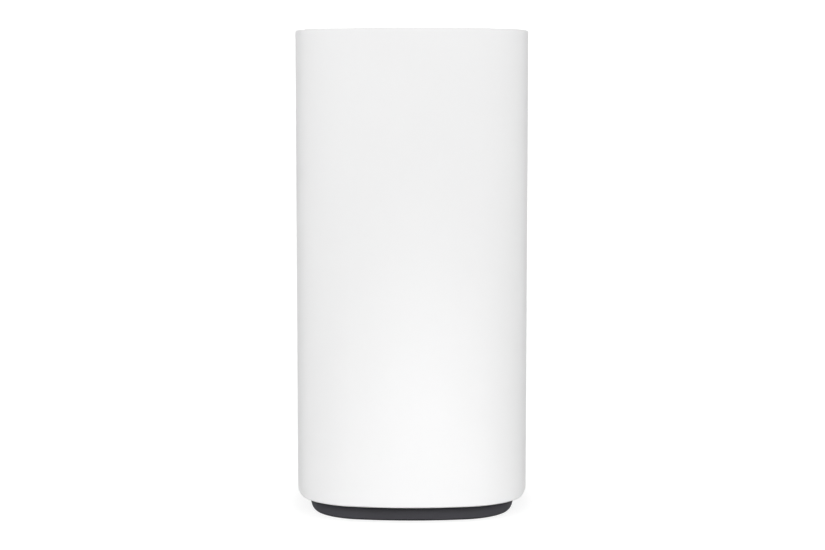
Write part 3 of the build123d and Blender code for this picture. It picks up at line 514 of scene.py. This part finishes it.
def shell_profile():
    """The wall's section as (inset, height), from the outer bottom rounding round to the inner one."""
    inner = SHELL_WALL - RIM_ROUND
    section = []
    for centre, radius, first in (
        ((BOTTOM_ROUND, SHELL_LOW + BOTTOM_ROUND), BOTTOM_ROUND, 270),
        ((RIM_ROUND, SHELL_HIGH - RIM_ROUND), RIM_ROUND, 180),
        ((inner, SHELL_HIGH - RIM_ROUND), RIM_ROUND, 90),
        ((inner, SHELL_LOW + RIM_ROUND), RIM_ROUND, 0),
    ):
        section += arc(centre, radius, first, first - 90, ROUND_STEPS)
    return section


def strip_outline(expand):
    """The rounded rectangle of the connector opening as (x, z), grown by expand."""
    half_x = STRIP_WIDTH / 2 + expand
    half_z = (STRIP_HIGH - STRIP_LOW) / 2 + expand
    bend = STRIP_CORNER + expand
    middle = (STRIP_HIGH + STRIP_LOW) / 2
    points = []
    for sign_x, sign_z, first in ((1, 1, 0), (-1, 1, 90), (-1, -1, 180), (1, -1, 270)):
        centre = (sign_x * (half_x - bend), middle + sign_z * (half_z - bend))
        points += arc(centre, bend, first, first + 90, OPENING_STEPS)
    return points


def strip_cutter():
    """A plug of the connector opening whose outer end flares into a small rounding."""
    radius, centre, _, _ = side_arc()
    steps = [(LIP_ROUND, -1.0)]
    for step in range(ROUND_STEPS + 1):
        angle = math.radians(90 * step / ROUND_STEPS)
        steps.append((LIP_ROUND * (1 - math.sin(angle)), LIP_ROUND * (1 - math.cos(angle))))
    steps.append((0.0, STRIP_DEPTH))
    rings = [
        [Vector((x, centre + math.sqrt(radius**2 - x**2) - depth, z)) for x, z in strip_outline(expand)]
        for expand, depth in steps
    ]
    work = bmesh.new()
    loft(work, rings, closed=False)
    bmesh.ops.recalc_face_normals(work, faces=work.faces)
    return new_piece("strip_cutter", work)


def add_fine_shell():
    """The white shell with rounded rims and a rounded lip at the connector opening."""
    work = bmesh.new()
    loft(work, [squircle_ring(inset, height) for inset, height in shell_profile()], closed=True)
    bmesh.ops.recalc_face_normals(work, faces=work.faces)
    shell = new_piece("outer_shell_fine", work)
    subtract(shell, strip_cutter())
    work = bmesh.new()
    work.from_mesh(shell.data)
    for quarter in range(4):
        corner_turn = 45 + 90 * quarter
        add_block(work, CATCH_SEAT, CATCH_SEAT_PLACE, 90 * quarter)
        add_block(work, POST_SIZE, (SCREW_REACH, 0.0, POST_MIDDLE), corner_turn)
        add_block(work, POST_WEB, (POST_WEB_REACH, 0.0, POST_MIDDLE), corner_turn)
    work.to_mesh(shell.data)
    work.free()
    smooth_by_area(shell, 35.0)
    show_instead(shell, "outer_shell")


def socket_point(angle, height):
    """A point on the wavy outline of a screw's lobed socket."""
    return around(SOCKET_RADIUS + SOCKET_LOBE * math.cos(SOCKET_LOBES * angle), angle, height)


def add_fine_screws():
    """Round pan-head screws with six-lobed sockets, in place of the plain ones."""
    work = bmesh.new()
    sockets = bmesh.new()
    for quarter in range(4):
        turn = Matrix.Rotation(math.radians(45 + 90 * quarter), 3, "Z")
        centre = turn @ Vector((SCREW_REACH, 0, 0))
        rings = [
            [centre + around(radius, angle, height) for angle in round_angles(SCREW_SIDES)]
            for radius, height in SCREW_SECTION
        ]
        loft(work, rings, closed=False)
        lobes = [
            [centre + socket_point(angle, height) for angle in round_angles(SOCKET_SIDES)]
            for height in SOCKET_ENDS
        ]
        loft(sockets, lobes, closed=False)
    bmesh.ops.recalc_face_normals(work, faces=work.faces)
    bmesh.ops.recalc_face_normals(sockets, faces=sockets.faces)
    screws = new_piece("base_screws_fine", work)
    subtract(screws, new_piece("socket_cutter", sockets))
    smooth_by_area(screws, 35.0)
    show_instead(screws, "base_screws")


# ---------------------------------------------------------------- flat shapes for printed marks

def stroke(points, width, closed=False):
    """A line of constant width through points, as one flat quad for each run."""
    quads = []
    count = len(points)
    last = count if closed else count - 1
    for index in range(last):
        start = Vector(points[index])
        end = Vector(points[(index + 1) % count])
        along = (end - start).normalized()
        side = Vector((-along.y, along.x)) * width / 2
        reach = along * width / 2
        quads.append((start - reach + side, start - reach - side, end + reach - side, end + reach + side))
    return quads


def disc(centre, radius):
    return [[Vector(point) for point in arc(centre, radius, 0, 360)[:-1]]]


def block(centre, width, height):
    x, y = centre
    corners = ((-width, -height), (width, -height), (width, height), (-width, height))
    return [[Vector((x + across / 2, y + up / 2)) for across, up in corners]]


def square(half, width):
    return stroke([(-half, -half), (half, -half), (half, half), (-half, half)], width, closed=True)


def at(shapes, x, y, scale=1.0):
    """Shapes moved to a place and scaled."""
    return [[Vector(point) * scale + Vector((x, y)) for point in shape] for shape in shapes]


def digit_mark(number):
    """A numeral drawn with strokes, in a box 1.4 wide and 2.4 tall."""
    if number == 1:
        return stroke([(-0.45, 0.75), (0.1, 1.2), (0.1, -1.2)], 0.3)
    if number == 2:
        return stroke(arc((0, 0.55), 0.62, 165, -35, 14) + [(-0.65, -1.2), (0.7, -1.2)], 0.3)
    upper = stroke(arc((-0.05, 0.6), 0.58, 150, -80, 14), 0.3)
    lower = stroke(arc((-0.05, -0.58), 0.64, 80, -150, 14), 0.3)
    return upper + lower


def globe_mark():
    """A globe of circles and meridians, for the port towards the modem."""
    shapes = stroke(arc((0, 0), 1.5, 0, 360), 0.24)
    angles = [2 * math.pi * step / ARC_STEPS for step in range(ARC_STEPS + 1)]
    shapes += stroke([(0.65 * math.cos(angle), 1.5 * math.sin(angle)) for angle in angles], 0.2)
    for half, y in ((1.45, 0), (1.2, 0.75), (1.2, -0.75)):
        shapes += stroke([(-half, y), (half, y)], 0.2)
    return shapes


def signal_mark():
    """A dot with two arcs over it, for the pairing button."""
    centre = (0, -0.9)
    inner = stroke(arc(centre, 0.95, 40, 140, 10), 0.26)
    outer = stroke(arc(centre, 1.75, 40, 140, 14), 0.26)
    return disc(centre, 0.28) + inner + outer


def power_mark():
    """A broken ring with a bar through its gap, beside the rocker."""
    return stroke(arc((0, 0), 1.1, 125, 415), 0.26) + stroke([(0, 0.35), (0, 1.35)], 0.26)


def polarity_mark():
    """Centre-positive barrel polarity, beside the inlet."""
    shapes = stroke(arc((0, 0), 0.75, 40, 320), 0.2)
    shapes += disc((0, 0), 0.24)
    for start, end in ((-1.5, -0.75), (0, 1.5)):
        shapes += stroke([(start, 0), (end, 0)], 0.16)
    for start, end in ((-2.3, -1.8), (1.8, 2.3)):
        shapes += stroke([(start, 0), (end, 0)], 0.18)
    shapes += stroke([(2.05, -0.25), (2.05, 0.25)], 0.18)
    return shapes


def house_mark():
    """A house outline, the usual sign for indoor use."""
    roof = stroke([(-1, 0.1), (0, 1.1), (1, 0.1)], 0.16)
    walls = stroke([(-0.7, 0.2), (-0.7, -1), (0.7, -1), (0.7, 0.2)], 0.16)
    return roof + walls


# ---------------------------------------------------------------- marks on panel, rocker and base

def print_mark(name, shapes, to_world, outward, body, slot_name):
    """Flat shapes as a thin raised print; to_world places a 2-D point, in metres."""
    work = bmesh.new()
    for order, shape in enumerate(shapes):
        lift = outward * (PRINT_DEPTH * MM) * (1 + 0.02 * (order % 3))
        lower = [work.verts.new(to_world(point * MM)) for point in shape]
        upper = [work.verts.new(to_world(point * MM) + lift) for point in shape]
        work.faces.new(upper)
        work.faces.new(list(reversed(lower)))
        join_sides(work, lower, upper)
    bmesh.ops.recalc_face_normals(work, faces=work.faces)
    finish_piece(new_piece(name, work), body, slot_name)


def on_panel(height):
    """Places marks on the connector panel, upright for someone behind the tower."""
    return lambda point: Vector((MARK_X * MM - point.x, PANEL_FACE * MM, height * MM + point.y))


def under_base(height, y=0.0):
    """Places marks under the base, upright for someone who looks up at it from the front."""
    return lambda point: Vector((point.x, y * MM - point.y, height * MM))


def on_rocker(offset):
    """Places marks on the rocker's hollow face, at an offset along it from the middle."""
    tilt = math.radians(ROCKER_TILT)

    def place(point):
        along = offset + point.y / MM
        depth = ROCKER_DISH_LOW + ROCKER_DISH - math.sqrt(ROCKER_DISH**2 - along**2)
        y = ROCKER_Y + depth * math.cos(tilt) - along * math.sin(tilt)
        z = ROCKER_Z + depth * math.sin(tilt) + along * math.cos(tilt)
        return Vector((-point.x, y * MM, z * MM))

    return place


def add_panel_marks():
    """A number or sign beside each connector and control of the rear strip."""
    places = [(f"mark_port_{port}", digit_mark(port), JACK_HEIGHTS[port - 1]) for port in (1, 2, 3)]
    places += [
        ("mark_internet", globe_mark(), JACK_HEIGHTS[3]),
        ("mark_pairing", signal_mark(), PAIRING_HEIGHT),
        ("mark_power", power_mark(), ROCKER_Z),
        ("mark_inlet", polarity_mark(), INLET_HEIGHT),
    ]
    for name, shapes, height in places:
        print_mark(name, shapes, on_panel(height), REAR, "housing", "white_cap")


def add_rocker_signs():
    """The on bar and the off ring on the two halves of the rocker."""
    bar = stroke([(0, -0.8), (0, 0.8)], 0.32)
    ring = stroke(arc((0, 0), 0.8, 0, 360), 0.3)
    for name, shapes, offset in (
        ("sign_on", bar, ROCKER_SIGN_OFFSET),
        ("sign_off", ring, -ROCKER_SIGN_OFFSET),
    ):
        print_mark(name, shapes, on_rocker(offset), REAR, "power_rocker", "white_cap")


def add_port_lights():
    """Two small link lights beside each network jack, set flush in the panel."""
    work = bmesh.new()
    for height in JACK_HEIGHTS:
        for shift in (-LIGHT_SHIFT, LIGHT_SHIFT):
            add_block(work, LIGHT_SIZE, (LIGHT_X, PANEL_FACE - LIGHT_SUNK, height + shift))
    bmesh.ops.bevel(
        work,
        geom=list(work.edges),
        offset=LIGHT_ROUND * MM,
        segments=2,
        profile=0.5,
        affect="EDGES",
        clamp_overlap=True,
    )
    lights = new_piece("port_lights", work)
    smooth_by_area(lights, 60.0)
    finish_piece(lights, "housing", "light_lens")


def label_rows(chance):
    """Rows of bars in place of words; the first row is taller."""
    shapes = []
    for row, (length, y) in enumerate(LABEL_ROWS):
        x = LABEL_LEFT
        while x < length + LABEL_LEFT:
            word = chance.uniform(0.8, 2.4)
            shapes += block((x + word / 2, y), word, WORD_HEIGHT if row else TITLE_HEIGHT)
            x += word + WORD_GAP
    return shapes


def label_bars(chance):
    """A strip of upright bars of random widths and gaps."""
    shapes = []
    x = LABEL_LEFT
    while x < BARS_END:
        bar = chance.choice((0.18, 0.3, 0.48))
        shapes += block((x + bar / 2, BARS_MIDDLE), bar, BARS_HEIGHT)
        x += bar + chance.choice((0.2, 0.34, 0.5))
    return shapes


def label_dots(chance):
    """A square of random dots with a broken edge, which encodes nothing."""
    shapes = []
    ends = (0, CODE_CELLS - 1)
    left, low = CODE_CORNER
    for column in range(CODE_CELLS):
        for row in range(CODE_CELLS):
            edge = column in ends or row in ends
            if (edge and (column + row) % 2 == 0) or (not edge and chance.random() < 0.48):
                centre = (left + column * CODE_CELL, low + row * CODE_CELL)
                shapes += block(centre, CODE_CELL * 0.96, CODE_CELL * 0.96)
    return shapes


def add_label_print():
    """A rating label without words: rows, bars, a dot pattern and generic signs."""
    chance = random.Random(7)
    shapes = label_rows(chance) + label_bars(chance) + label_dots(chance)
    shapes += at(square(1.0, 0.14) + square(0.55, 0.14), 5.2, SIGNS_Y, 1.1)
    shapes += at(house_mark(), 8.8, SIGNS_Y, 1.1)
    shapes += at(polarity_mark(), 12.6, SIGNS_Y, 0.75)
    place = under_base(LABEL_FACE, LABEL_Y)
    print_mark("label_print", shapes, place, DOWN, "housing", "black_plastic")


def add_mould_dial():
    """The raised date dial that the mould leaves under the base: rings, an arrow and twelve ticks."""
    shapes = stroke(arc((0, 0), 2.6, 0, 360), 0.2) + stroke(arc((0, 0), 1.5, 0, 360), 0.16)
    shapes += stroke([(0, -0.9), (0, 0.9)], 0.2)
    shapes += stroke([(-0.5, 0.4), (0, 0.95), (0.5, 0.4)], 0.2)
    for step in range(12):
        angle = math.radians(30 * step)
        ends = [(reach * math.cos(angle), reach * math.sin(angle)) for reach in (1.85, 2.25)]
        shapes += stroke(ends, 0.14)
    print_mark("mould_dial", at(shapes, *DIAL_PLACE), under_base(BASE_FACE), DOWN, "housing", "dark_base")


# ---------------------------------------------------------------- stage, light and camera

def make_stage(stage, tone, glow):
    """A white glowing surface that the camera sees and that lights nothing by its glow."""
    material, _, shader = new_material(f"{stage.name}_paper", (tone, tone, tone), 0.9, specular=0.0)
    shader.inputs["Emission Color"].default_value = (1.0, 1.0, 1.0, 1.0)
    shader.inputs["Emission Strength"].default_value = glow
    stage.data.materials.append(material)
    stage.visible_diffuse = False
    stage.visible_glossy = False


def add_floor():
    """A backlit white table: it glows, so that only a faint contact shadow is left."""
    bpy.ops.mesh.primitive_plane_add(size=40.0, location=(0, 0, 0))
    floor = bpy.context.object
    floor.name = "floor"
    make_stage(floor, FLOOR_TONE, FLOOR_GLOW)


def add_backdrop():
    """A glowing white dome far round the object, which the camera sees and nothing else does."""
    bpy.ops.mesh.primitive_uv_sphere_add(segments=48, ring_count=24, radius=24.0, location=(0, 0, 0))
    backdrop = bpy.context.object
    backdrop.name = "backdrop"
    backdrop.visible_transmission = False
    backdrop.visible_shadow = False
    make_stage(backdrop, 0.0, BACKDROP_GLOW)


def math_node(tree, operation, *inputs):
    """The result of a math node whose inputs are sockets or numbers."""
    node = tree.nodes.new("ShaderNodeMath")
    node.operation = operation
    for index, value in enumerate(inputs):
        if isinstance(value, float):
            node.inputs[index].default_value = value
        else:
            tree.links.new(value, node.inputs[index])
    return node.outputs["Value"]


def add_world():
    """A soft white studio: a bright ring of light above the table, strongest in front, little from below."""
    world = bpy.context.scene.world or bpy.data.worlds.new("studio")
    bpy.context.scene.world = world
    world.use_nodes = True
    tree = world.node_tree
    direction = tree.nodes.new("ShaderNodeTexCoord").outputs["Generated"]
    split = tree.nodes.new("ShaderNodeSeparateXYZ")
    tree.links.new(direction, split.inputs["Vector"])
    ring = tree.nodes.new("ShaderNodeValToRGB")
    ring.color_ramp.interpolation = "EASE"
    stops = ring.color_ramp.elements
    while len(stops) < len(SKY_STOPS):
        stops.new(0.5)
    for stop, (height, level) in zip(stops, SKY_STOPS):
        stop.position = (height + 1) / 2
        stop.color = (level, level, level, 1.0)
    height = math_node(tree, "MULTIPLY_ADD", split.outputs["Z"], 0.5, 0.5)
    tree.links.new(height, ring.inputs["Fac"])
    facing = tree.nodes.new("ShaderNodeVectorMath")
    facing.operation = "DOT_PRODUCT"
    facing.inputs[1].default_value = SKY_FRONT
    tree.links.new(direction, facing.inputs[0])
    gain = math_node(tree, "MULTIPLY_ADD", facing.outputs["Value"], SKY_GAIN * SKY_FRONT_BOOST, SKY_GAIN)
    strength = math_node(tree, "MULTIPLY", ring.outputs["Color"], gain)
    background = tree.nodes["Background"]
    background.inputs["Color"].default_value = (1.0, 1.0, 1.0, 1.0)
    tree.links.new(strength, background.inputs["Strength"])


def add_low_spot():
    """A narrow spot from high in front, which brightens the lower middle of the tower's front."""
    data = bpy.data.lights.new("low_spot", "SPOT")
    data.energy = LOW_SPOT_POWER
    data.spot_size = math.radians(LOW_SPOT_CONE)
    data.spot_blend = 1.0
    data.shadow_soft_size = LOW_SPOT_RADIUS
    light = bpy.data.objects.new("low_spot", data)
    bpy.context.scene.collection.objects.link(light)
    place = Vector(LOW_SPOT_PLACE)
    target = Vector(LOW_SPOT_TARGET)
    light.location = place
    light.rotation_euler = (target - place).to_track_quat("-Z", "Y").to_euler()


def add_camera():
    """A view from a little below the height of the top rim, tilted slightly down."""
    data = bpy.data.cameras.new("camera")
    data.sensor_width = 36.0
    data.lens = CAMERA_LENS
    camera = bpy.data.objects.new("camera", data)
    bpy.context.scene.collection.objects.link(camera)
    camera.location = CAMERA_PLACE
    camera.rotation_euler = (math.radians(90.0 - CAMERA_PITCH), 0.0, 0.0)
    bpy.context.scene.camera = camera


finish_cad_nodes()
add_fine_shell()
for soft_node, soft_width in SOFT_EDGES.items():
    softened(soft_node, soft_width)
add_fine_screws()
add_panel_marks()
add_rocker_signs()
add_port_lights()
add_label_print()
add_mould_dial()
add_floor()
add_backdrop()
add_world()
add_low_spot()
add_camera()
bpy.context.scene.view_settings.view_transform = "Standard"
